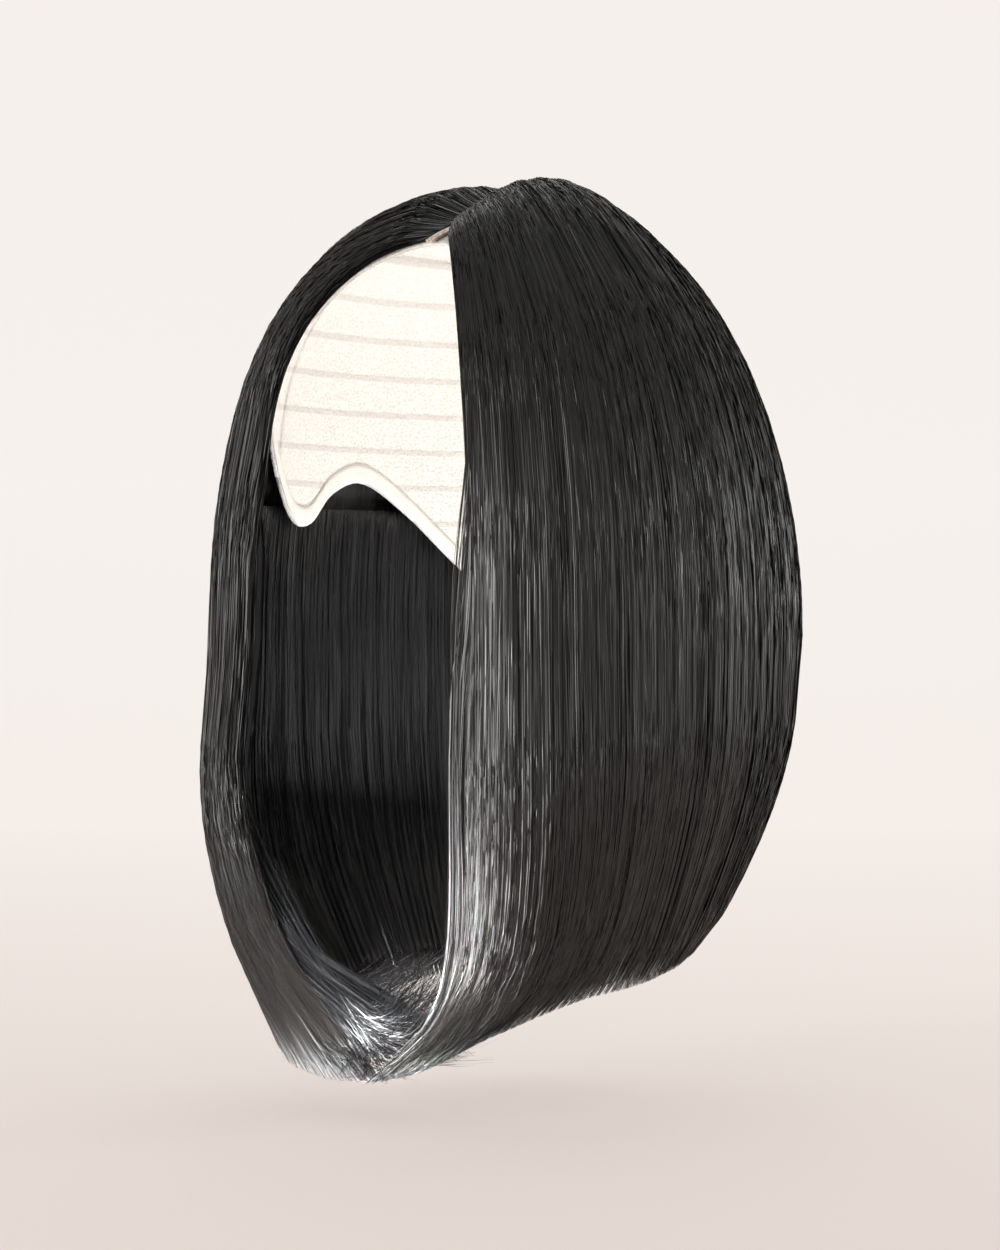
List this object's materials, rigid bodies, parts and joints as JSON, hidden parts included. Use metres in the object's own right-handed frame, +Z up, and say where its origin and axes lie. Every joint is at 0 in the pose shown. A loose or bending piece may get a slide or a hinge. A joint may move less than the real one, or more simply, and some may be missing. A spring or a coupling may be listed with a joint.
{
  "type": "bob wig",
  "caption": "Straight dark bob wig with a side parting and ends that curl in, on a hollow net cap for a head, held in its worn shape.",
  "frame": {"origin": "where the inside of the cap rests on the top of the head", "axes": "+Z up along the head, -Y the way the wearer looks, +X towards the wearer's left"},
  "size_m": [0.1856, 0.2227, 0.3007],
  "materials": {
    "cap_net": "fine knitted net, matte",
    "parting_lace": "skin-coloured lace, matte",
    "hair": "straight combed fibre, soft sheen",
    "under_hair": "straight combed fibre, soft sheen"
  },
  "bodies": {
    "root": {"cap_crown": "cap_net", "cap_front": "cap_net", "cap_left": "cap_net", "cap_right": "cap_net", "cap_back": "cap_net", "parting_strip": "parting_lace", "right_front_hair": "hair", "right_side_hair": "hair", "right_back_hair": "hair", "left_back_hair": "hair", "left_side_hair": "hair", "left_front_hair": "hair", "left_face_lock": "hair", "right_under_hair": "under_hair", "back_under_hair": "under_hair", "left_under_hair": "under_hair", "nape_hair": "under_hair"}
  },
  "joints": []
}
